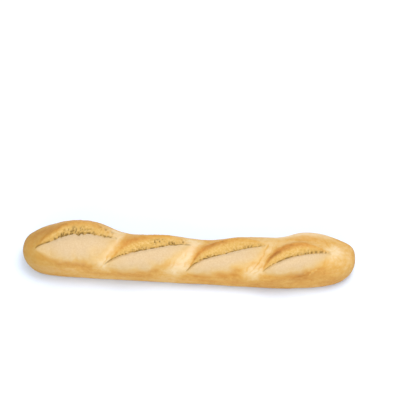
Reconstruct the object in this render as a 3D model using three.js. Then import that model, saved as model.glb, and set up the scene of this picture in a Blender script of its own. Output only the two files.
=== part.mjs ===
// A short white baguette with four diagonal slashes, baked as one piece.
// Millimetres, +Z up.  The loaf lies along X with its front towards -Y and
// its left end at -X.  Z = 0 is the flat underside it was baked on.
//
// The loaf is a stretched, flattened sphere.  Each point of its skin is
// known by x along the loaf and by `arc`, the distance over the skin from
// the loaf's highest line, positive towards the back.  The four slashes are
// drawn in those two numbers and pushed in or out from the loaf's spine.

import * as THREE from 'three';
import { mergeVertices } from 'three/addons/utils/BufferGeometryUtils.js';

// The loaf before it is slashed
const LENGTH = 300;
const END_LENGTH = 27;          // each rounded end, along X
const END_POWER = 2.57;         // 2 is an elliptical end, more is blunter
const HEIGHT = 30;              // top of the plain loaf between the lobes
const BACK_HALF_WIDTH = 21.1;
const FRONT_HALF_WIDTH = 16.3;
const SPINE_HEIGHT = 13.8;      // level of the widest line of the section
const HIDDEN_DEPTH = 9;         // how far the round section dips below the tray
const SECTION_POWER = 0.94;     // 1 is elliptical, less is squarer
const FLOOR_ROUNDING = 2.2;     // softness of the bottom edge
const END_LIFT = 0.8;           // how far each tip curls up
const SKIN_PER_RADIAN = 22;     // arc length over the skin per radian of turn

// The ends drift towards the back
const RIGHT_DRIFT = { from: 75, over: 75, by: 12.2 };
const LEFT_DRIFT = { from: 110, over: 40, by: 4.8 };

// Where the back swells behind a slash: centre and reach along X, and depth
const BULGE_FLATNESS = 2.6;     // 2 is a bell, more is flatter with steeper sides
const BACK_BULGES = [
  { centre: -100, reach: 35, depth: 6.9 },
  { centre: 52, reach: 25, depth: 6.1 },
  { centre: 110, reach: 23, depth: 10.6 },
];

// The slashes from left to right.  `left` and `right` are the tips [x, arc].
// `arch` bows the cut to the back: how far, how full the bow is at its ends
// (less is fuller), and how much it leans to the left.
// `band` is the torn strip behind the cut: its width, how much wider it gets
// to the right, and where along the cut it has opened.  `belly` is the floury
// strip in front of the cut: its width and how much wider it gets to the right.
// `ear` is the height of the band's far edge, and `earSlope` how far it takes
// to fall off behind.
// `swell` is how far the whole lobe rises, `reach` how much further back it
// rises, and `shift` moves the swell right as a share of half the cut.
const SLASHES = [
  {
    left: [-134.3, -9.3], right: [-63.6, 3], arch: [6.5, 0.5, 0.6],
    band: [6, 0, -0.75], belly: [20.5, 0],
    ear: 1.8, earSlope: 5, swell: 12.6, reach: 15, shift: 0.08,
  },
  {
    left: [-72.6, -17.9], right: [2.5, 4.2], arch: [5.5, 0.65, 0.3],
    band: [8.8, 0, -0.45], belly: [19.5, -0.25],
    ear: 2, earSlope: 4.5, swell: 7.7, reach: 7, shift: 0.19,
  },
  {
    left: [-0.5, -23], right: [68.6, 5], arch: [10, 0.75, 0.25],
    band: [10.5, 0.05, -0.5], belly: [20.5, -0.15],
    ear: 2.6, earSlope: 3.8, swell: 2.6, reach: 8.5, shift: 0.55,
  },
  {
    left: [67.4, -17.2], right: [126.7, -0.5], arch: [7.2, 0.75, 0.25],
    band: [6.2, -0.8, -0.98], belly: [15, 0],
    ear: 2.6, earSlope: 3.4, swell: 8.7, reach: 19, shift: 0.02,
  },
];
const CUT_DEPTH = 2.4;
const CUT_FRONT_WALL = 2.4;     // width of the slope from belly down to the cut
const BELLY_HEIGHT = 2.1;
const STRIP_TAPER = 0.62;       // how the strips narrow to the tips, less is blunter
const DEPTH_TAPER = 0.75;       // how the cut shallows to the tips
const FLOOR_CURVE = 0.7;        // the band's floor leaves the cut steeply
const EAR_CURVE = 1.8;          // and its far edge curls up late

// The swell under a slash: how far in front of the cut its crest lies, how
// much wider it is than the strips it carries, its length as a share of the
// cut's, and how flat-topped it is lengthwise and crosswise
const SWELL_CREST = 3;
const SWELL_CREST_PER_BAND = 0.15;
const SWELL_BEHIND_BAND = 9;
const SWELL_BEFORE_BELLY = 2;
const SWELL_LENGTH = 0.98;
const SWELL_FLATNESS_ALONG = 2.8;
const SWELL_FLATNESS_ACROSS = 2.4;

// Mesh density
const SEGMENTS_ALONG = 120;
const SEGMENTS_AROUND = 50;
const END_SHARE = 0.11;         // share of the rings spent on each end
const SNAP_OPEN = 0.02;         // the mesh follows the cuts where they gape more than this
const TOP_CROWDING = 0.33;      // how much the segments crowd to the top

const { clamp, smoothstep } = THREE.MathUtils;

// 1 at the middle falling to 0 on both sides, flatter on top for a higher flatness.
function bell(offset, flatness) {
  return Math.exp(-Math.pow(Math.abs(offset), flatness));
}

// x of the ring that lies the given share of the way along the loaf.
function ringPosition(share) {
  const straight = LENGTH - 2 * END_LENGTH;
  const quarterTurn = (part) => END_LENGTH * (1 - Math.cos((part / END_SHARE) * (Math.PI / 2)));
  if (share < END_SHARE) return -LENGTH / 2 + quarterTurn(share);
  if (share > 1 - END_SHARE) return LENGTH / 2 - quarterTurn(1 - share);
  return (((share - END_SHARE) / (1 - 2 * END_SHARE)) - 0.5) * straight;
}

// Size of the section at x as a share of the full section: 1 along the
// straight part, falling to 0 at the tips.
function sectionScale(x) {
  const fromTip = LENGTH / 2 - Math.abs(x);
  if (fromTip >= END_LENGTH) return 1;
  const inward = 1 - fromTip / END_LENGTH;
  return Math.pow(1 - Math.pow(inward, END_POWER), 1 / END_POWER);
}

// The line the sections are hung on: its drift in Y and its height.
function spinePoint(x) {
  const drift = (side, rule) => rule.by * Math.pow(Math.max(0, (side - rule.from) / rule.over), 2);
  const intoEnd = clamp(1 - (LENGTH / 2 - Math.abs(x)) / END_LENGTH, 0, 1);
  return new THREE.Vector3(
    clamp(x, -LENGTH / 2 + END_LENGTH, LENGTH / 2 - END_LENGTH),
    drift(x, RIGHT_DRIFT) + drift(-x, LEFT_DRIFT),
    SPINE_HEIGHT + END_LIFT * Math.pow(intoEnd, 1.5),
  );
}

function backHalfWidth(x) {
  const bulge = ({ centre, reach, depth }) => depth * bell((x - centre) / reach, BULGE_FLATNESS);
  return BACK_BULGES.reduce((sum, rule) => sum + bulge(rule), BACK_HALF_WIDTH);
}

// A point of the unslashed skin.  `turn` is the angle from the top, in
// radians, positive to the back.
function skinPoint(x, turn, spine) {
  const squared = (value) => Math.sign(value) * Math.pow(Math.abs(value), SECTION_POWER);
  const scale = sectionScale(x);
  const across = turn > 0 ? backHalfWidth(x) : FRONT_HALF_WIDTH;
  const rise = Math.cos(turn) > 0 ? HEIGHT - SPINE_HEIGHT : SPINE_HEIGHT + HIDDEN_DEPTH;
  return new THREE.Vector3(
    x,
    spine.y + across * scale * squared(Math.sin(turn)),
    spine.z + rise * scale * squared(Math.cos(turn)),
  );
}

// Where a skin point lies in a slash: `along` runs from -1 at the left tip
// to 1 at the right, `across` is the distance behind the cut line, and
// `open` is how far the slash gapes there, 0 at the tips and 1 midway.
function placeInSlash(slash, x, arc) {
  const run = slash.right[0] - slash.left[0];
  const climb = slash.right[1] - slash.left[1];
  const span = Math.hypot(run, climb);
  const dx = x - slash.left[0];
  const dArc = arc - slash.left[1];
  const along = (2 * (dx * run + dArc * climb)) / (span * span) - 1;
  const open = clamp(1 - along * along, 0, 1);
  const [arch, fullness, lean] = slash.arch;
  const bow = arch * Math.pow(open, fullness) * (1 - lean * along);
  return { along, across: (dArc * run - dx * climb) / span - bow, open };
}

// Moves a skin point onto a cut that passes within `reach` of it, so that
// the mesh has an edge along every cut.
function snapToCuts(x, arc, reach) {
  for (const slash of SLASHES) {
    const first = placeInSlash(slash, x, arc);
    const second = placeInSlash(slash, x, arc - first.across);
    const shift = first.across + second.across;
    if (first.open > SNAP_OPEN && Math.abs(shift) < reach) return arc - shift;
  }
  return arc;
}

// Widths of the two strips at a place along the cut: none at its tips.
function bandWidthAt(slash, { along, open }) {
  const [width, lean, opened] = slash.band;
  return width * (1 + lean * along) * Math.pow(open, STRIP_TAPER) * smoothstep(along, -1, opened);
}

function bellyWidthAt(slash, { along, open }) {
  const [width, lean] = slash.belly;
  return width * (1 + lean * along) * Math.pow(open, STRIP_TAPER);
}

// The dough that rises under the slash and carries it.
function swellHeight(slash, { along, across }) {
  const [bandWidth] = slash.band;
  const [bellyWidth] = slash.belly;
  const offset = across + SWELL_CREST - SWELL_CREST_PER_BAND * bandWidth;
  const behind = bandWidth + SWELL_BEHIND_BAND + slash.reach;
  const before = bellyWidth + SWELL_BEFORE_BELLY;
  const lengthwise = bell((along - slash.shift) / SWELL_LENGTH, SWELL_FLATNESS_ALONG);
  const crosswise = bell(offset / (offset > 0 ? behind : before), SWELL_FLATNESS_ACROSS);
  return slash.swell * lengthwise * crosswise;
}

// The puffed floury strip in front of the cut, ending in the cut's front wall.
function bellyHeight(slash, place) {
  const { across, open } = place;
  const share = -across / bellyWidthAt(slash, place);
  const puff = smoothstep(share, 0, 0.22) * (1 - smoothstep(share, 0.35, 1.15));
  const wall = 1 - smoothstep(-across, 0, CUT_FRONT_WALL);
  return Math.pow(open, DEPTH_TAPER) * (BELLY_HEIGHT * puff - CUT_DEPTH * wall);
}

// The torn strip behind the cut climbing to the ear, and the ear's back.
function bandHeight(slash, place) {
  const { across, open } = place;
  const width = bandWidthAt(slash, place);
  const share = width > 0 ? across / width : 1;
  const floor = -CUT_DEPTH * (1 - Math.pow(Math.min(share, 1), FLOOR_CURVE));
  const fall = bell((across - width) / slash.earSlope, 2);
  const ear = slash.ear * (share < 1 ? Math.pow(share, EAR_CURVE) : fall);
  return Math.pow(open, DEPTH_TAPER) * floor + open * ear;
}

function slashHeight(slash, x, arc) {
  const place = placeInSlash(slash, x, arc);
  let height = swellHeight(slash, place);
  if (place.open > 0) {
    height += place.across < 0 ? bellyHeight(slash, place) : bandHeight(slash, place);
  }
  return height;
}

// Flattens whatever dips below the tray, with a soft bottom edge.
function restOnTray(z) {
  if (z < -FLOOR_ROUNDING) return 0;
  if (z < FLOOR_ROUNDING) return Math.pow(z + FLOOR_ROUNDING, 2) / (4 * FLOOR_ROUNDING);
  return z;
}

// Angle from the top for a share of the way round, counted from the
// underside; the segments crowd towards the top where the slashes are.
function turnAt(share) {
  const even = 2 * Math.PI * (share - 0.5);
  return even - TOP_CROWDING * Math.sin(even);
}

// A point of the finished loaf, for shares of the way along and round it.
function bakedPoint(alongShare, roundShare) {
  const x = ringPosition(alongShare);
  const turn = turnAt(roundShare);
  const spacing = SKIN_PER_RADIAN * (turnAt(roundShare + 1 / SEGMENTS_AROUND) - turn);
  const arc = snapToCuts(x, SKIN_PER_RADIAN * turn, spacing / 2);
  const spine = spinePoint(x);
  const point = skinPoint(x, arc / SKIN_PER_RADIAN, spine);
  const height = SLASHES.reduce((sum, slash) => sum + slashHeight(slash, x, arc), 0);
  const outward = point.clone().sub(spine).normalize();
  point.addScaledVector(outward, height * sectionScale(x));
  point.z = restOnTray(point.z);
  return point;
}

function loafGeometry() {
  const ball = new THREE.SphereGeometry(1, SEGMENTS_AROUND, SEGMENTS_ALONG);
  const position = ball.attributes.position;
  const uv = ball.attributes.uv;
  for (let i = 0; i < position.count; i += 1) {
    const point = bakedPoint(uv.getY(i), 1 - (uv.getX(i) % 1));
    position.setXYZ(i, point.x, point.y, point.z);
  }
  ball.deleteAttribute('uv');
  ball.deleteAttribute('normal');
  const loaf = mergeVertices(ball);
  loaf.computeBoundingBox();
  const middle = loaf.boundingBox.getCenter(new THREE.Vector3());
  loaf.translate(-middle.x, -middle.y, 0);
  loaf.computeVertexNormals();
  return loaf;
}

function buildBaguette() {
  const crust = new THREE.MeshStandardMaterial({ color: 0xdca862, roughness: 0.75, metalness: 0 });
  const mesh = new THREE.Mesh(loafGeometry(), crust);
  mesh.name = 'baguette';
  const group = new THREE.Group();
  group.name = 'baguette_loaf';
  group.add(mesh);
  return group;
}

export default buildBaguette();
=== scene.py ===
"""A short white baguette with four torn diagonal slashes, lying on a pale floor."""

import math

import bpy
import numpy as np
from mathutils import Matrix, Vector, noise


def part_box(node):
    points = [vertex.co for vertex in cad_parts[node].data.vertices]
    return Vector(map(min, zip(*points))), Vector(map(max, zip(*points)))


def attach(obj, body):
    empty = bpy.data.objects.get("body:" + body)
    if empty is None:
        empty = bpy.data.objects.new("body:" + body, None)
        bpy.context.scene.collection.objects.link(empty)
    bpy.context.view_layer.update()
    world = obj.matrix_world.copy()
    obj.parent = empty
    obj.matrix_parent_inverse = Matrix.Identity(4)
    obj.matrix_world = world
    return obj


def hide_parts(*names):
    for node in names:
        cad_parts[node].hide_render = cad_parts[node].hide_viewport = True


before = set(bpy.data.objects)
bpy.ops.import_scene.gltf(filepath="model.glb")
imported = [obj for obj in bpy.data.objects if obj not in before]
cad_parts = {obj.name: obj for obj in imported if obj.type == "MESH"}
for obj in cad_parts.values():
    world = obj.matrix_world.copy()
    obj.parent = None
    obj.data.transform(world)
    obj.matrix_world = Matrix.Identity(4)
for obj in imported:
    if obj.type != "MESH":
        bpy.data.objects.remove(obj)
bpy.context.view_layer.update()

# ---------------------------------------------------------------------------
# The plain loaf.  It is shaped in millimetres and then fitted to the frame.
# Each point of its skin is known by x along the loaf and by `arc`, the
# distance over the skin from the loaf's highest line, positive to the back.
# ---------------------------------------------------------------------------
MILLIMETRE = 0.001
LOW, HIGH = (Vector(corner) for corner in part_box("baguette"))
LENGTH = (HIGH.x - LOW.x) / MILLIMETRE

END_LENGTH = 27.0               # each rounded end, along X
END_POWER = 2.57                # 2 is an elliptical end, more is blunter
HEIGHT = 30.0                   # top of the plain loaf between the lobes
BACK_HALF_WIDTH = 21.1
FRONT_HALF_WIDTH = 16.3
SPINE_HEIGHT = 13.8             # level of the widest line of the section
HIDDEN_DEPTH = 9.0              # how far the round section dips below the tray
SECTION_POWER = 0.94            # 1 is elliptical, less is squarer
FLOOR_ROUNDING = 2.2            # softness of the bottom edge
END_LIFT = 0.8                  # how far each tip curls up
END_LIFT_CURVE = 1.5
SKIN_PER_RADIAN = 22.0          # arc length over the skin per radian of turn

# Drift of the ends towards the back: where it starts, over what length, how far
RIGHT_DRIFT = (75.0, 75.0, 12.2)
LEFT_DRIFT = (110.0, 40.0, 4.8)

# Where the back swells behind a slash: centre and reach along X, and depth
BULGE_FLATNESS = 2.6
BACK_BULGES = [(-100.0, 35.0, 6.9), (52.0, 25.0, 6.1), (110.0, 23.0, 10.6)]

# Mesh density
RINGS = 430
SEGMENTS = 216
END_SHARE = 0.11                # share of the rings spent on each end
TOP_CROWDING = 0.36             # how much the segments crowd to the top

# ---------------------------------------------------------------------------
# The slashes from left to right.
# `left` and `right` are the tips (x, arc).
# `arch` bows the cut to the back: how far, how full the bow is at its ends
# (less is fuller), and how much it leans to the left.
# `band` is the torn strip behind the cut: its width, how much wider it gets
# to the right, and where along the cut it has opened.
# `belly` is the floury strip in front of the cut: its width, and how much
# wider it gets to the right.
# `swell` is how far the whole lobe rises, `reach` how much further back it
# rises, and `shift` moves the swell right as a share of half the cut.
# `depth` is the depth of the cut.  `ear` is the height of the band's far
# edge, and how far it takes to fall off behind.
# `ragged` is how torn the cut is, `crack_shade` the width of its dark line of painted shade, and
# `browned_and_shade` how dark the ear is baked, with painted shade on its outer flank.
# `pit_rows` are rows of torn pits that follow the cut: distance behind it,
# where the row starts and ends along it, and strength.
# ---------------------------------------------------------------------------
SLASHES = [
    dict(
        left=(-134.3, -9.3), right=(-63.6, 3.0), arch=(6.5, 0.5, 0.6),
        band=(6.0, 0.0, -0.75), belly=(20.5, 0.0),
        swell=12.6, reach=15.0, shift=0.08, depth=2.4, ear=(1.6, 6.0),
        ragged=1.0, crack_shade=0.6, browned_and_shade=0.5,
        pit_rows=[(1.0, -0.5, 0.55, 1.0), (2.6, -0.35, 0.35, 0.6), (4.6, 0.5, 1.0, 0.6)],
    ),
    dict(
        left=(-72.6, -17.9), right=(2.5, 4.2), arch=(5.5, 0.65, 0.3),
        band=(8.8, 0.0, -0.35), belly=(19.5, -0.25),
        swell=7.7, reach=7.0, shift=0.19, depth=2.4, ear=(1.9, 5.0),
        ragged=0.8, crack_shade=0.5, browned_and_shade=0.45,
        pit_rows=[(1.0, -0.6, 0.1, 0.7), (4.4, 0.05, 0.5, 1.0),
                  (1.6, 0.35, 0.75, 1.0), (2.8, 0.7, 1.0, 1.0)],
    ),
    dict(
        left=(-0.5, -23.0), right=(68.6, 5.0), arch=(10.0, 0.75, 0.25),
        band=(9.5, 0.25, -0.5), belly=(20.5, -0.15),
        swell=2.6, reach=8.5, shift=0.55, depth=2.3, ear=(2.5, 3.0),
        ragged=0.6, crack_shade=0.45, browned_and_shade=0.9,
        pit_rows=[(1.0, -0.65, -0.05, 1.0), (1.0, -0.05, 0.5, 0.5), (1.4, 0.45, 1.0, 0.8)],
    ),
    dict(
        left=(67.4, -17.2), right=(126.7, -0.5), arch=(7.2, 0.75, 0.25),
        band=(5.4, -0.9, -0.98), belly=(15.0, 0.0),
        swell=8.7, reach=19.0, shift=0.02, depth=1.9, ear=(2.9, 2.2),
        ragged=0.35, crack_shade=0.45, browned_and_shade=1.05,
        pit_rows=[(0.7, -0.7, 0.9, 0.4)],
    ),
]
NO_WIDTH = 1e-6                 # keeps shares of a closed strip finite
CUT_FRONT_WALL = 1.5            # width of the slope from belly down to the cut
BELLY_HEIGHT = 2.1
BELLY_RISES = (0.0, 0.22)       # shares of the belly's width, counted from the cut
BELLY_SINKS = (0.35, 1.15)
STRIP_TAPER = 0.62              # how the strips narrow to the tips, less is blunter
DEPTH_TAPER = 0.75              # how the cut shallows to the tips
FLOOR_CURVE = 0.7               # the band's floor leaves the cut steeply
EAR_CURVE = 1.8                 # and its far edge curls up late

# The swell under a slash: how far in front of the cut its crest lies, how
# much wider it is than the strips it carries, its length as a share of the
# cut's, and how flat-topped it is lengthwise and crosswise
SWELL_CREST = 3.0
SWELL_CREST_PER_BAND = 0.15
SWELL_BEHIND_BAND = 9.0
SWELL_BEFORE_BELLY = 2.0
SWELL_LENGTH = 0.98
SWELL_FLATNESS_ALONG = 2.8
SWELL_FLATNESS_ACROSS = 2.4

# Torn dough in the slashes
PIT_ROW_WIDTH = 1.6
PIT_SPACING = 1.7
PIT_RADIUS = 0.52               # as a share of the spacing
PIT_EDGE = 0.2                  # softness of a pit's rim, as the same kind of share
PIT_DEPTH = 1.1
LONE_PIT = 0.55                 # strength of pits outside the clumps
PIT_ROW_ENDS = 0.15             # how slowly a row starts and ends
CLEAN_START = (-0.9, -0.6)      # along the cut, where the blade's clean entry ends
FIBRE_STRETCH = (30.0, 2.6)     # the fibres are drawn out along the cut
FIBRE_END = (-0.5, 0.1)
LUMP_HEIGHT = 0.4
FIBRE_HEIGHT = 0.5
SMOOTHEST_TEAR = 0.4            # share of the roughness that a clean cut keeps
WOBBLE = ((0.8, 4.0), (0.5, 1.6))   # the cut wanders this far over this length
WOBBLE_SQUASH = 0.3

# Colour of a slash.  Places across a strip are shares of its width.
EDGE_FADE = 0.5                 # how the torn and floury strips fade to the tips
TORN_STARTS = (-0.02, 0.06)
TORN_ENDS = (0.5, 1.0)
FLOUR_STARTS = (-0.6, 0.3)      # in millimetres from the cut
FLOUR_THINS = (0.35, 1.25)
FLOUR_FRAYING = (0.2, 8.0)      # how far the flour's edge wanders, over this length
# The ear's crest: its browned edge, and painted shade on its outer flank, strongest at the left
CREST_FADE = 0.3
CREST_PLACE = (0.2, 0.9)        # millimetres behind the cut, plus shares of the band
CREST_WIDTH = (0.7, 0.25)       # the same for how wide it is
CREST_LEFT_SHADE = 1.1                # strength at the left
CREST_LOSES = 0.65              # and how much of it is lost to the right
UNDER_BELLY = 0.3               # strength of the browning below the belly
UNDER_BELLY_PLACE = 1.2
UNDER_BELLY_WIDTH = 0.3
UNDER_BELLY_LEFT = 0.55         # share of that strength kept at the left
# Shape of the cut's line of painted shade
CRACK_FADE = 0.25
CRACK_PLACE = 0.3
CRACK_GAPS = (-0.45, 0.2)

# ---------------------------------------------------------------------------
# Skin between the slashes
# ---------------------------------------------------------------------------
# Pale stretched belts that the slashes leave between them, each along the left
# edge of the slash to its right: foot and top of that edge, and paleness
BELTS = [
    ((-75.0, -19.0), (-54.0, 11.0), 1.0),
    ((-6.0, -22.0), (15.0, 13.0), 1.0),
    # less pale: painted shade in the crease between the third and fourth lobes
    ((60.5, -21.0), (79.0, 10.0), 0.35),
]
BELT_STARTS = (-2.0, 2.5)       # in millimetres ahead of the edge
BELT_ENDS = (5.25, 19.5)
BELT_FOOT = (-0.2, 0.1)         # as shares of the edge's length
BELT_TOP = (0.75, 1.15)
BELT_PALENESS = 0.75
KNOT_LENGTH = 10.0              # the pale knot at the foot of each belt
KNOT_WIDTH = 9.0
KNOT_ABOVE_FOOT = 1.0
KNOT_AHEAD = 3.5
KNOT_PALENESS = 0.85
CREASE_SPACING = 4.2
CREASE_DEPTH = 0.35

# Where the last slash draws the skin together in rays: x and arc, and size
PINCH = (128.0, 1.2)
PINCH_SIZE = 7.0
PINCH_RAYS = 8
PINCH_PALENESS = 0.5
RAY_CREASES = 0.6
RAY_LENGTH = 2.2 * PINCH_SIZE

# Small blisters: x, arc, radius and height.  These sit together low on the
# right lobe, and the others are scattered over the crust.
LOW_BLISTERS = [
    (111.0, -17.0, 1.6, 0.8),
    (107.5, -15.0, 1.3, 0.7),
    (114.0, -15.0, 1.2, 0.6),
    (109.0, -19.5, 1.1, 0.6),
    (104.0, -18.0, 1.1, 0.5),
]
SCATTERED_BLISTERS = 46
SCATTER_SEED = 8
SCATTER_X = (-140, 140)
SCATTER_ARC = (20, 42)          # on either side of the top
SCATTER_RADIUS = (0.7, 1.5)
SCATTER_HEIGHT = (0.15, 0.4)
BLISTER_PALES = (0.1, 0.5)      # heights over which a blister turns pale

CRUST_LUMPS = ((0.35, 24.0), (0.16, 7.0))       # height and length of the crust's lumps

# Patches baked browner or paler: centre (x, arc), size and strength
BROWN_LEFT_SHOULDER = ((-125.0, 7.0), (11.0, 5.0), 0.7)
BROWN_LOW_RIGHT = ((107.0, -25.0), (15.0, 8.0), 0.45)
BROWN_BACK = 0.3
BROWN_BACK_ARC = ((12.0, 24.0), (34.0, 56.0))   # where it fades in and out
BROWN_BACK_ENDS = (30.0, 75.0)                  # along x
# Painted shade in the creases of the belts and round the pinch
CREASE_SHADE = 0.5
PALE_BACK = 0.8
PALE_BACK_ARC = ((9.0, 16.0), (20.0, 42.0))
PALE_BACK_X = ((64.0, 90.0), (110.0, 138.0))
PALE_BACK_FRAYING = (8.0, 14.0)                 # how far its edge wanders, over this length
# Painted shade over the left end, which lies away from the light: where it grows
LEFT_END_DARKENS = (92.0, 146.0)                # distance to the left of the middle
PALE_PINCH = 0.9
PALE_BLISTERS = 0.3


# ---------------------------------------------------------------------------
# Small helpers for arrays
# ---------------------------------------------------------------------------
def fade_in(value, start, end):
    """0 up to `start`, 1 from `end` on, and smooth between them."""
    part = np.clip((value - start) / (end - start), 0.0, 1.0)
    return part * part * (3.0 - 2.0 * part)


def fade_out(value, start, end):
    return 1.0 - fade_in(value, start, end)


def between(value, rise, fall):
    return fade_in(value, *rise) * fade_out(value, *fall)


def bell(offset, width, flatness=2.0):
    """1 at the middle falling to 0 on both sides, flatter on top for a higher flatness."""
    return np.exp(-np.abs(offset / width) ** flatness)


def patch(x, arc, centre, size):
    return bell(x - centre[0], size[0]) * bell(arc - centre[1], size[1])


def signed_power(value, power):
    return np.sign(value) * np.abs(value) ** power


def waves(x, arc, size, layer):
    """Smooth noise between about -1 and 1 over the skin, in lumps of `size` mm."""
    flat = zip((x / size).ravel(), (arc / size).ravel())
    values = [noise.noise((along, over, layer * 7.31)) for along, over in flat]
    return np.array(values).reshape(x.shape)


def nearest_cell(x, arc, size, layer):
    """Distance to the nearest of scattered points about `size` mm apart, in that unit."""
    flat = zip((x / size).ravel(), (arc / size).ravel())
    values = [noise.voronoi((along, over, layer * 5.17))[0][0] for along, over in flat]
    return np.array(values).reshape(x.shape)


# ---------------------------------------------------------------------------
# Shape of the plain loaf
# ---------------------------------------------------------------------------
def ring_positions():
    """x of every ring, closer together where the ends round off."""
    share = np.linspace(0.0, 1.0, RINGS + 1)
    straight = LENGTH - 2 * END_LENGTH
    x = ((share - END_SHARE) / (1 - 2 * END_SHARE) - 0.5) * straight
    left = share < END_SHARE
    right = share > 1 - END_SHARE
    quarter = math.pi / 2 / END_SHARE
    x[left] = -LENGTH / 2 + END_LENGTH * (1 - np.cos(share[left] * quarter))
    x[right] = LENGTH / 2 - END_LENGTH * (1 - np.cos((1 - share[right]) * quarter))
    return x


def turn_angles():
    """Angles from the top, positive to the back, crowded where the slashes are."""
    even = np.linspace(-math.pi, math.pi, SEGMENTS, endpoint=False)
    return even - TOP_CROWDING * np.sin(even)


def into_end(x):
    """0 along the straight part, rising to 1 at each tip."""
    return np.clip(1 - (LENGTH / 2 - np.abs(x)) / END_LENGTH, 0.0, 1.0)


def section_scale(x):
    return (1 - into_end(x) ** END_POWER) ** (1 / END_POWER)


def spine_points(x):
    """The line the sections are hung on: its drift in Y and its height."""
    def drift(side, rule):
        start, over, far = rule
        return far * np.clip((side - start) / over, 0.0, None) ** 2

    along = np.clip(x, -LENGTH / 2 + END_LENGTH, LENGTH / 2 - END_LENGTH)
    back = drift(x, RIGHT_DRIFT) + drift(-x, LEFT_DRIFT)
    level = SPINE_HEIGHT + END_LIFT * into_end(x) ** END_LIFT_CURVE
    return np.stack([along, back, level], axis=-1)


def back_half_width(x):
    bulges = [depth * bell(x - centre, reach, BULGE_FLATNESS)
              for centre, reach, depth in BACK_BULGES]
    return BACK_HALF_WIDTH + sum(bulges)


def plain_skin(x, turn, spine):
    """Points of the unslashed skin."""
    scale = section_scale(x)
    across = np.where(turn > 0, back_half_width(x), FRONT_HALF_WIDTH)
    rise = np.where(np.cos(turn) > 0, HEIGHT - SPINE_HEIGHT, SPINE_HEIGHT + HIDDEN_DEPTH)
    y = spine[..., 1] + across * scale * signed_power(np.sin(turn), SECTION_POWER)
    z = spine[..., 2] + rise * scale * signed_power(np.cos(turn), SECTION_POWER)
    return np.stack([x, y, z], axis=-1)


def rest_on_tray(z):
    """Flattens whatever dips below the tray, with a soft bottom edge."""
    rounded = (z + FLOOR_ROUNDING) ** 2 / (4 * FLOOR_ROUNDING)
    return np.where(z < -FLOOR_ROUNDING, 0.0, np.where(z < FLOOR_ROUNDING, rounded, z))


# ---------------------------------------------------------------------------
# Shape of a slash
# ---------------------------------------------------------------------------
def place_in_slash(slash, x, arc):
    """Where skin points lie in a slash.

    `along` runs from -1 at the left tip to 1 at the right, `across` is the
    distance behind the cut, and `gape` is how far the slash opens there,
    from 0 at the tips to 1 midway.
    """
    run = slash["right"][0] - slash["left"][0]
    climb = slash["right"][1] - slash["left"][1]
    span = math.hypot(run, climb)
    dx = x - slash["left"][0]
    d_arc = arc - slash["left"][1]
    along = 2 * (dx * run + d_arc * climb) / span ** 2 - 1
    gape = np.clip(1 - along ** 2, 0.0, 1.0)
    arch, fullness, lean = slash["arch"]
    bow = arch * gape ** fullness * (1 - lean * along)
    across = (d_arc * run - dx * climb) / span - bow
    return along, across, gape


def band_width(slash, along, gape):
    width, lean, opened = slash["band"]
    return width * (1 + lean * along) * gape ** STRIP_TAPER * fade_in(along, -1.0, opened) + NO_WIDTH


def belly_width(slash, along, gape):
    width, lean = slash["belly"]
    return width * (1 + lean * along) * gape ** STRIP_TAPER + NO_WIDTH


def swell_height(slash, along, across):
    """The dough that rises under the slash and carries it."""
    band, belly = slash["band"][0], slash["belly"][0]
    offset = across + SWELL_CREST - SWELL_CREST_PER_BAND * band
    behind = band + SWELL_BEHIND_BAND + slash["reach"]
    before = belly + SWELL_BEFORE_BELLY
    lengthwise = bell(along - slash["shift"], SWELL_LENGTH, SWELL_FLATNESS_ALONG)
    crosswise = bell(offset, np.where(offset > 0, behind, before), SWELL_FLATNESS_ACROSS)
    return slash["swell"] * lengthwise * crosswise


def belly_height(slash, across, gape, width):
    """The puffed strip in front of the cut, ending in the cut's front wall."""
    share = -across / width
    puff = fade_in(share, *BELLY_RISES) * fade_out(share, *BELLY_SINKS)
    wall = fade_out(-across, 0.0, CUT_FRONT_WALL)
    return gape ** DEPTH_TAPER * (BELLY_HEIGHT * puff - slash["depth"] * wall)


def band_height(slash, across, gape, width):
    """The torn strip behind the cut climbing to the ear, and the ear's back."""
    ear_height, ear_slope = slash["ear"]
    share = np.clip(across / width, 0.0, None)
    floor = -slash["depth"] * (1 - np.minimum(share, 1) ** FLOOR_CURVE)
    behind = bell(across - width, ear_slope)
    ear = ear_height * np.where(share < 1, share ** EAR_CURVE, behind)
    return gape ** DEPTH_TAPER * floor + gape * ear


def crumb_pits(slash, layer, x, arc, along, across):
    """Torn pits in rows that follow the cut, from 0 to 1; they are sunk and also darkened as painted
    shade.
    """
    cells = nearest_cell(x + waves(x, arc, 3.0, layer + 4), arc, PIT_SPACING, layer)
    clumps = fade_in(waves(x, arc, 5.0, layer + 6), -0.5, 0.1)
    holes = fade_in(PIT_RADIUS - cells, 0.0, PIT_EDGE) * (LONE_PIT + (1 - LONE_PIT) * clumps)
    row_width = PIT_ROW_WIDTH * math.sqrt(slash["ragged"])
    pits = np.zeros_like(x)
    for offset, start, end, strength in slash["pit_rows"]:
        row = fade_in(along, start, start + PIT_ROW_ENDS) * fade_out(along, end - PIT_ROW_ENDS, end)
        pits = np.maximum(pits, strength * row * bell(across - offset, row_width) * holes)
    return pits


def torn_fibres(layer, along, across):
    """Fine ridges drawn out along the left part of the torn strip."""
    lengthwise, crosswise = FIBRE_STRETCH
    ridges = waves(lengthwise * along, crosswise * across, 3.0, layer + 7)
    return ridges * fade_out(along, *FIBRE_END)


def tear_edges(slash, layer, x, arc, along, across, gape):
    """Makes the cut wander, except where the blade went in cleanly."""
    wobble = sum(far * waves(x, arc * WOBBLE_SQUASH, length, layer + number)
                 for number, (far, length) in enumerate(WOBBLE))
    return across + slash["ragged"] * wobble * np.sqrt(gape) * fade_in(along, *CLEAN_START)


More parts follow.
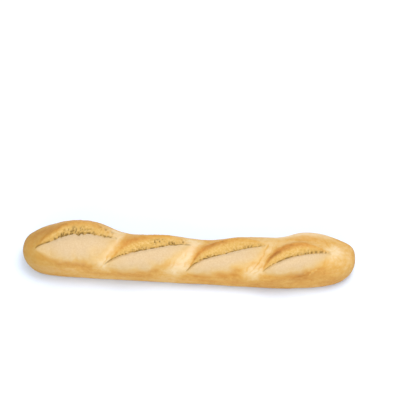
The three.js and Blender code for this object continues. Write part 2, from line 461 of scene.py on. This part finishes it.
# ---------------------------------------------------------------------------
# Colour masks of a slash
# ---------------------------------------------------------------------------
def torn_mask(share, gape):
    """The open dough, over most of the band's width."""
    return gape ** EDGE_FADE * fade_in(share, *TORN_STARTS) * fade_out(share, *TORN_ENDS)


def floury_mask(across, frayed, gape):
    """The flour left on the belly, thinning out at its frayed front edge."""
    return gape ** EDGE_FADE * fade_out(across, *FLOUR_STARTS) * fade_out(frayed, *FLOUR_THINS)


def browned_and_shade_mask(slash, along, across, frayed, gape, band):
    """The ear's browned crest with painted shade on its outer flank, darkest at the left, and browning
    a little below the belly.
    """
    # painted shade on the ear's outer flank, strongest at the left
    left_flank_shade = CREST_LEFT_SHADE - CREST_LOSES * fade_in(along, -0.8, 0.5)
    place = CREST_PLACE[0] + CREST_PLACE[1] * band
    width = CREST_WIDTH[0] + CREST_WIDTH[1] * band
    crest = gape ** CREST_FADE * bell(across - place, width)
    to_the_right = UNDER_BELLY_LEFT + (1 - UNDER_BELLY_LEFT) * fade_in(along, -0.4, 0.5)
    below = gape ** EDGE_FADE * bell(frayed - UNDER_BELLY_PLACE, UNDER_BELLY_WIDTH)
    return slash["browned_and_shade"] * left_flank_shade * crest + UNDER_BELLY * to_the_right * below


def crack_shade_mask(slash, layer, x, arc, along, across, gape):
    """The cut's line of painted shade, broken up where it is torn."""
    broken = fade_in(waves(x, arc, 1.5, layer + 2), *CRACK_GAPS)
    line = gape ** CRACK_FADE * bell(across - CRACK_PLACE, slash["crack_shade"])
    return line * np.maximum(fade_out(along, *CLEAN_START), broken)


def shape_slash(slash, layer, x, arc):
    """Height of one slash over the skin, and its masks for colour."""
    along, across, gape = place_in_slash(slash, x, arc)
    across = tear_edges(slash, layer, x, arc, along, across, gape)
    band = band_width(slash, along, gape)
    belly = belly_width(slash, along, gape)
    relief = np.where(across < 0, belly_height(slash, across, gape, belly),
                      band_height(slash, across, gape, band))
    relief = np.where(gape > 0, relief, 0.0)

    fraying, length = FLOUR_FRAYING
    frayed = -across / belly + fraying * waves(x, arc, length, layer + 20)
    masks = dict(
        torn=torn_mask(across / band, gape),
        floury=floury_mask(across, frayed, gape),
        browned_and_shade=browned_and_shade_mask(slash, along, across, frayed, gape, band),
        crack_shade=crack_shade_mask(slash, layer, x, arc, along, across, gape),
        pits=crumb_pits(slash, layer, x, arc, along, across),
    )
    lumps = LUMP_HEIGHT * waves(x, arc, 2.6, layer + 5)
    lumps = lumps + FIBRE_HEIGHT * torn_fibres(layer, along, across)
    raggedness = SMOOTHEST_TEAR + (1 - SMOOTHEST_TEAR) * slash["ragged"]
    roughness = raggedness * masks["torn"] * lumps
    height = swell_height(slash, along, across) + relief - PIT_DEPTH * masks["pits"] + roughness
    return height, masks


def cut_slashes(x, arc):
    """Height of all slashes together, and for each mask the strongest slash."""
    height = np.zeros_like(x)
    masks = {}
    for number, slash in enumerate(SLASHES):
        rise, parts = shape_slash(slash, 3 * number, x, arc)
        height += rise
        for name, part in parts.items():
            masks[name] = np.maximum(masks.get(name, 0.0), part)
    return height, masks


# ---------------------------------------------------------------------------
# Skin between the slashes
# ---------------------------------------------------------------------------
def pinch_skin(x, arc, drift, ripple):
    """Paleness and rays of creases round the pinch at the last slash's tip."""
    dx, d_arc = x - PINCH[0], arc - PINCH[1]
    distance = np.hypot(0.8 * dx, 1.2 * d_arc) + 2.0 * ripple
    rays = fade_in(np.cos(PINCH_RAYS * np.arctan2(d_arc, dx) + 4 * drift), 0.5, 1.0)
    pale = PINCH_PALENESS * bell(distance, PINCH_SIZE)
    return pale, RAY_CREASES * bell(distance, RAY_LENGTH) * rays


def stretch_belt(foot, top, paleness, x, arc, drift, ripple):
    """Paleness and creases of one belt of stretched skin."""
    run, climb = top[0] - foot[0], top[1] - foot[1]
    span = math.hypot(run, climb)
    share = ((x - foot[0]) * run + (arc - foot[1]) * climb) / span ** 2
    ahead = ((arc - foot[1]) * run - (x - foot[0]) * climb) / span + 2.5 * drift
    belt = fade_in(ahead, *BELT_STARTS) * fade_out(ahead, *BELT_ENDS)
    belt = belt * fade_in(share, *BELT_FOOT) * fade_out(share, *BELT_TOP)
    knot = bell(span * share - KNOT_ABOVE_FOOT + 1.5 * ripple, KNOT_LENGTH)
    knot = knot * bell(ahead - KNOT_AHEAD + 2 * drift, KNOT_WIDTH)
    pale = np.maximum(BELT_PALENESS * paleness * belt, KNOT_PALENESS * knot)
    lines = np.sin(2 * math.pi * (ahead + 1.5 * ripple) / CREASE_SPACING)
    creases = belt * fade_in(lines, 0.2, 1.0) * fade_in(drift, -0.3, 0.3)
    return pale * (0.9 + 0.3 * drift), creases


def stretch_skin(x, arc):
    """How far the skin was stretched pale between the slashes, and its creases."""
    drift = waves(x, arc, 9.0, 50)
    ripple = waves(x, arc, 4.0, 51)
    pale, creases = pinch_skin(x, arc, drift, ripple)
    for foot, top, paleness in BELTS:
        belt_pale, belt_creases = stretch_belt(foot, top, paleness, x, arc, drift, ripple)
        pale = np.maximum(pale, belt_pale)
        creases = creases + belt_creases
    return pale, creases


def blister_height(x, arc):
    chance = np.random.default_rng(SCATTER_SEED)
    blisters = list(LOW_BLISTERS)
    for _ in range(SCATTERED_BLISTERS):
        place = (chance.uniform(*SCATTER_X), chance.choice((-1, 1)) * chance.uniform(*SCATTER_ARC))
        blisters.append(place + (chance.uniform(*SCATTER_RADIUS), chance.uniform(*SCATTER_HEIGHT)))
    return sum(rise * bell(np.hypot(x - along, arc - over), radius)
               for along, over, radius, rise in blisters)


def brown_patches(x, arc):
    """Places that baked browner than the rest of the crust."""
    centre, size, strength = BROWN_LEFT_SHOULDER
    shoulder = strength * patch(x, arc, centre, size)
    centre, size, strength = BROWN_LOW_RIGHT
    low_right = strength * patch(x, arc, centre, size) * (0.8 + 0.35 * waves(x, arc, 3.0, 60))
    upper_back = between(arc, *BROWN_BACK_ARC) * fade_out(x, *BROWN_BACK_ENDS)
    return shoulder + low_right + BROWN_BACK * upper_back


def pale_patches(x, arc, blisters):
    """Places that stayed pale: behind the last lobe, at the pinch and on blisters."""
    fraying, length = PALE_BACK_FRAYING
    frayed_x = x + fraying * waves(x, arc, length, 61)
    last_lobe = between(arc, *PALE_BACK_ARC) * between(frayed_x, *PALE_BACK_X)
    past_pinch = np.hypot(0.7 * (x - PINCH[0] - 1.0), arc - PINCH[1])
    dusting = bell(past_pinch, 0.7 * PINCH_SIZE) * (1.0 + 0.8 * waves(0.4 * x, arc, 3.0, 62))
    pale = np.maximum(PALE_BACK * last_lobe, PALE_PINCH * dusting)
    return np.maximum(pale, PALE_BLISTERS * fade_in(blisters, *BLISTER_PALES))


def bake_loaf():
    """Skin points in millimetres on the ring grid, and the masks over them."""
    x, turn = np.meshgrid(ring_positions(), turn_angles(), indexing="ij")
    arc = SKIN_PER_RADIAN * turn
    height, masks = cut_slashes(x, arc)
    pale, creases = stretch_skin(x, arc)
    blisters = blister_height(x, arc)
    # this mask also carries painted shade: in the creases and on the ears' outer flanks
    masks["browned_and_shade"] = masks["browned_and_shade"] + CREASE_SHADE * creases + brown_patches(x, arc)
    masks["stretched"] = np.maximum(pale, pale_patches(x, arc, blisters))
    # painted shade over the left end
    masks["left_end_shade"] = fade_in(-x, *LEFT_END_DARKENS)

    lumps = sum(rise * waves(x, arc, length, 40 + number)
                for number, (rise, length) in enumerate(CRUST_LUMPS))
    height = height + lumps + blisters - CREASE_DEPTH * creases
    spine = spine_points(x)
    skin = plain_skin(x, turn, spine)
    outward = skin - spine
    outward /= np.linalg.norm(outward, axis=-1, keepdims=True) + 1e-9
    skin = skin + outward * (height * section_scale(x))[..., None]
    skin[..., 2] = rest_on_tray(skin[..., 2])
    return skin, masks


# ---------------------------------------------------------------------------
# The mesh
# ---------------------------------------------------------------------------
def fit_to_frame(points):
    """Moves and stretches the points to fill the frame's box for the loaf."""
    low = points.min(axis=0)
    high = points.max(axis=0)
    return np.array(LOW) + (points - low) * (np.array(HIGH) - np.array(LOW)) / (high - low)


def loaf_faces(rings):
    """Quads between the open rings and a fan of triangles at each tip."""
    index = np.arange(rings * SEGMENTS).reshape(rings, SEGMENTS)
    following = np.roll(index, -1, axis=1)
    quads = np.stack([index[:-1], index[1:], following[1:], following[:-1]], axis=-1)
    left_tip = rings * SEGMENTS
    right_tip = left_tip + 1
    left = [(left_tip, a, b) for a, b in zip(index[0], following[0])]
    right = [(right_tip, b, a) for a, b in zip(index[-1], following[-1])]
    return quads.reshape(-1, 4).tolist() + left + right


def on_vertices(grid):
    """Values of the grid in vertex order: the open rings, then the two tips."""
    open_rings = grid[1:-1].reshape(-1, *grid.shape[2:])
    return np.concatenate([open_rings, grid[:1, 0], grid[-1:, 0]])


def add_object(name, data):
    thing = bpy.data.objects.new(name, data)
    bpy.context.scene.collection.objects.link(thing)
    return thing


def add_loaf(material):
    skin, masks = bake_loaf()
    mesh = bpy.data.meshes.new("loaf")
    mesh.from_pydata(fit_to_frame(on_vertices(skin)).tolist(), [], loaf_faces(RINGS - 1))
    mesh.shade_smooth()
    for name, grid in masks.items():
        layer = mesh.attributes.new(name, "FLOAT", "POINT")
        layer.data.foreach_set("value", on_vertices(grid).astype(np.float32))
    mesh.materials.append(material)
    mesh.update()
    loaf = add_object("loaf", mesh)
    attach(loaf, "root")
    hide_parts("baguette")


# ---------------------------------------------------------------------------
# Colours as six-digit display codes, with their places on a ramp
# ---------------------------------------------------------------------------
CRUST_TONES = [(0.0, "d3b98e"), (0.28, "cba76c"), (0.5, "c4964c"), (0.75, "b57e36"), (1.0, "936026")]
# Tone of the painted shade at the left end
LEFT_END_SHADE_TONE = "a07c38"
STREAK_TONES = [(0.35, "ffe9a8"), (0.5, "ffffff"), (0.65, "ffd9b0")]
STRAW_TONES = [(0.35, "c39c5c"), (0.65, "cdae78")]
FLOUR_TONES = [(0.3, "bea17a"), (0.5, "c3a77f"), (0.7, "c7ad86")]
CRUMB_TONES = [(0.3, "b38845"), (0.45, "c29a50"), (0.58, "caa461"), (0.72, "cfaf72")]
# Painted shade in the cut and the pits
CUT_SHADE_TONE = "5c430f"
FLOOR_TONES = [(0.3, "d9e2ee"), (0.7, "dfe7f2")]

# How strongly each thing shows in the crust
PATCHES_BAKE = (1.1, -0.36)     # noise times this, plus
MOTTLE_BAKES = 0.6
# browning, and the painted shade that shares its mask
BROWNED_AND_SHADE_BAKES = 0.5
STRETCHED_PALES = 0.6
# how strongly the painted shade at the left end shows
LEFT_END_SHADE_SHOWS = 0.55
STREAKS_SHOW = 0.25
THIN_FLOUR = 2.2
THICK_FLOUR = (1.6, -0.45)      # mask times this, plus
CUT_SHADE_SHOWS = 0.92

CRUST_ROUGHNESS = 0.62
CRUST_SPECULAR = 0.15
GRAIN_DEPTH = 0.0004
GRAIN_STRENGTH = 0.5
FLOOR_ROUGHNESS = 0.8


def tone(code):
    """Linear colour from a six-digit display colour such as 'e8cda2'."""
    def linear(value):
        return value / 12.92 if value <= 0.04045 else ((value + 0.055) / 1.055) ** 2.4

    return tuple(linear(int(code[i:i + 2], 16) / 255) for i in (0, 2, 4)) + (1.0,)


# ---------------------------------------------------------------------------
# Node helpers
# ---------------------------------------------------------------------------
def add_node(tree, kind, inputs=None, **settings):
    node = tree.nodes.new(kind)
    for name, value in settings.items():
        setattr(node, name, value)
    for name, value in (inputs or {}).items():
        if isinstance(value, bpy.types.NodeSocket):
            tree.links.new(value, node.inputs[name])
        else:
            node.inputs[name].default_value = value
    return node


def object_place(tree):
    return add_node(tree, "ShaderNodeTexCoord").outputs["Object"]


def stretched_place(tree, place, scale):
    return add_node(tree, "ShaderNodeMapping", {"Vector": place, "Scale": scale}).outputs[0]


def mask(tree, name):
    return add_node(tree, "ShaderNodeAttribute", attribute_name=name).outputs["Fac"]


def calculate(tree, operation, *values, clamp=False):
    inputs = dict(enumerate(values))
    return add_node(tree, "ShaderNodeMath", inputs, operation=operation, use_clamp=clamp).outputs[0]


def blend(tree, amount, first, second, kind="MIX"):
    inputs = {0: amount, 1: first, 2: second}
    return add_node(tree, "ShaderNodeMixRGB", inputs, blend_type=kind).outputs[0]


def ramp(tree, factor, tones):
    node = add_node(tree, "ShaderNodeValToRGB", {0: factor})
    stops = node.color_ramp.elements
    for number, (place, code) in enumerate((tones[0], tones[-1])):
        stops[number].position = place
        stops[number].color = tone(code)
    for place, code in tones[1:-1]:
        stops.new(place).color = tone(code)
    return node.outputs[0]


def noise_over(tree, place, scale, detail=3.0, roughness=0.55):
    inputs = {"Vector": place, "Scale": scale, "Detail": detail, "Roughness": roughness}
    return add_node(tree, "ShaderNodeTexNoise", inputs).outputs["Fac"]


def new_material(name):
    material = bpy.data.materials.new(name)
    material.use_nodes = True
    return material, material.node_tree, material.node_tree.nodes["Principled BSDF"]


# ---------------------------------------------------------------------------
# Crust
# ---------------------------------------------------------------------------
def bake_level(tree, place, mottle):
    """How far each place is baked, from 0 for pale straw to 1 for brown; painted shade on the ears'
    outer flanks and in the creases is added as further bake.
    """
    drawn_out = stretched_place(tree, place, (0.45, 1.0, 1.0))
    patches = noise_over(tree, drawn_out, 42.0, 4.0, 0.6)
    level = calculate(tree, "MULTIPLY_ADD", patches, *PATCHES_BAKE)
    level = calculate(tree, "MULTIPLY_ADD", mottle, MOTTLE_BAKES, level)
    level = calculate(tree, "MULTIPLY_ADD", mask(tree, "browned_and_shade"), BROWNED_AND_SHADE_BAKES, level)
    return calculate(tree, "MULTIPLY_ADD", mask(tree, "stretched"), -STRETCHED_PALES, level, clamp=True)


def baked_colour_and_left_shade(tree, place, mottle):
    """The bare crust with painted shade darkening the left end, and long yellow and orange streaks."""
    crust = ramp(tree, bake_level(tree, place, mottle), CRUST_TONES)
    left_end_shade = calculate(tree, "MULTIPLY", mask(tree, "left_end_shade"), LEFT_END_SHADE_SHOWS)
    crust = blend(tree, left_end_shade, crust, tone(LEFT_END_SHADE_TONE))
    streaks = noise_over(tree, stretched_place(tree, place, (0.12, 1.0, 2.0)), 70.0)
    return blend(tree, STREAKS_SHOW, crust, ramp(tree, streaks, STREAK_TONES), "MULTIPLY")


def dust_with_flour(tree, colour, place, mottle):
    """Flour on the bellies that thins out over a straw-coloured edge."""
    floury = mask(tree, "floury")
    thin = calculate(tree, "MULTIPLY", floury, THIN_FLOUR, clamp=True)
    thick = calculate(tree, "MULTIPLY_ADD", floury, *THICK_FLOUR, clamp=True)
    flecks = noise_over(tree, place, 700.0, 2.0, 0.6)
    colour = blend(tree, thin, colour, ramp(tree, mottle, STRAW_TONES))
    return blend(tree, thick, colour, ramp(tree, flecks, FLOUR_TONES))


def tear_open(tree, colour, place):
    """Golden dough in the torn strips, with painted shade in the pits and along the cut."""
    grains = noise_over(tree, place, 480.0, 4.0, 0.65)
    colour = blend(tree, mask(tree, "torn"), colour, ramp(tree, grains, CRUMB_TONES))
    # painted shade in the cut and the pits
    cut_and_pit_shade = calculate(tree, "MAXIMUM", mask(tree, "crack_shade"), mask(tree, "pits"))
    return blend(tree, calculate(tree, "MULTIPLY", cut_and_pit_shade, CUT_SHADE_SHOWS), colour, tone(CUT_SHADE_TONE))


def crust_material():
    material, tree, shader = new_material("crust")
    place = object_place(tree)
    mottle = noise_over(tree, place, 260.0, 4.0, 0.7)
    colour = baked_colour_and_left_shade(tree, place, mottle)
    colour = dust_with_flour(tree, colour, place, mottle)
    tree.links.new(tear_open(tree, colour, place), shader.inputs["Base Color"])

    grain = noise_over(tree, place, 1100.0, 3.0, 0.6)
    settings = {"Height": grain, "Distance": GRAIN_DEPTH, "Strength": GRAIN_STRENGTH}
    bump = add_node(tree, "ShaderNodeBump", settings)
    tree.links.new(bump.outputs[0], shader.inputs["Normal"])
    shader.inputs["Roughness"].default_value = CRUST_ROUGHNESS
    shader.inputs["Specular IOR Level"].default_value = CRUST_SPECULAR
    return material


# ---------------------------------------------------------------------------
# Floor, light and camera
# ---------------------------------------------------------------------------
FLOOR_HALF = 6.0
WORLD_STRENGTH = 1.05
WORLD_COLOUR = (0.94, 0.975, 1.04, 1.0)

# Softboxes: place, size and power
SOFTBOXES = {
    "overhead": (Vector((0.25, 0.12, 1.15)), 0.55, 6.7),
    "front_fill": (Vector((-0.1, -1.1, 0.5)), 0.9, 5.3),
}

CAMERA_ELEVATION = math.radians(55.0)
CAMERA_SWING = math.radians(3.7)
CAMERA_DISTANCE = 1.15
CAMERA_AIM = Vector((0.0056, 0.0708, 0.0))
CAMERA_LENS = 109.2
CAMERA_SENSOR = 36.0


def floor_material():
    material, tree, shader = new_material("pale_floor")
    cloudy = noise_over(tree, object_place(tree), 3.0)
    tree.links.new(ramp(tree, cloudy, FLOOR_TONES), shader.inputs["Base Color"])
    shader.inputs["Roughness"].default_value = FLOOR_ROUGHNESS
    return material


def add_floor():
    mesh = bpy.data.meshes.new("floor")
    half = FLOOR_HALF
    corners = [(-half, -half, 0), (half, -half, 0), (half, half, 0), (-half, half, 0)]
    mesh.from_pydata(corners, [], [(0, 1, 2, 3)])
    mesh.materials.append(floor_material())
    floor = add_object("floor", mesh)
    floor.location.z = LOW.z


def aim(thing, direction):
    thing.rotation_mode = "QUATERNION"
    thing.rotation_quaternion = direction.to_track_quat("-Z", "Y")


def add_light():
    world = bpy.data.worlds.new("studio")
    bpy.context.scene.world = world
    world.use_nodes = True
    background = world.node_tree.nodes["Background"]
    background.inputs["Color"].default_value = WORLD_COLOUR
    background.inputs["Strength"].default_value = WORLD_STRENGTH
    for name, (place, size, power) in SOFTBOXES.items():
        lamp = bpy.data.lights.new(name, "AREA")
        lamp.size = size
        lamp.energy = power
        softbox = add_object(name, lamp)
        softbox.location = place
        aim(softbox, -place)
    bpy.context.scene.view_settings.view_transform = "Standard"


def add_camera():
    level = math.cos(CAMERA_ELEVATION)
    towards = Vector((
        math.sin(CAMERA_SWING) * level,
        -math.cos(CAMERA_SWING) * level,
        math.sin(CAMERA_ELEVATION),
    ))
    lens = bpy.data.cameras.new("camera")
    lens.sensor_width = CAMERA_SENSOR
    lens.lens = CAMERA_LENS
    camera = add_object("camera", lens)
    camera.location = CAMERA_AIM + CAMERA_DISTANCE * towards
    aim(camera, -towards)
    bpy.context.scene.camera = camera


add_camera()
add_light()
add_floor()
add_loaf(crust_material())
